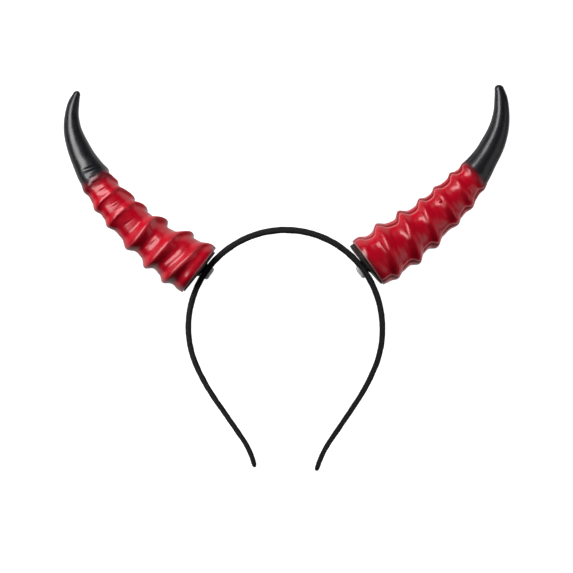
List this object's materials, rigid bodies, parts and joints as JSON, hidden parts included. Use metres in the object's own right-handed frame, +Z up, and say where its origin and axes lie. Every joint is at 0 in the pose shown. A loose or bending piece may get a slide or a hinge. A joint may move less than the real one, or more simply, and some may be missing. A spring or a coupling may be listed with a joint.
{
  "type": "ram horn headband",
  "caption": "Costume headband: a slim black ribbon-covered hoop that carries curved hollow horns with a spiral ridge, painted red and fading to black at the tips.",
  "frame": {"origin": "on the surface that the headband lies on, under the middle of the whole piece", "axes": "+X across the piece from one horn to the other, +Y from the band's ends towards the horn tips, +Z up out of the front face"},
  "size_m": [0.2854, 0.2418, 0.0404],
  "materials": {
    "ribbon": "fine black ribbon, matt",
    "horn_paint": "glossy red paint, sprayed black towards the tip",
    "base_plate": "dark brown-black, satin",
    "stub": "black, matt",
    "glue": "translucent grey, smooth"
  },
  "bodies": {
    "root": {"headband": "ribbon", "horn_shell_left": "horn_paint", "horn_shell_right": "horn_paint", "base_plate_left": "base_plate", "base_plate_right": "base_plate", "mount_stub_left": "stub", "mount_stub_right": "stub", "glue_pad_left": "glue", "glue_pad_right": "glue"}
  },
  "joints": []
}
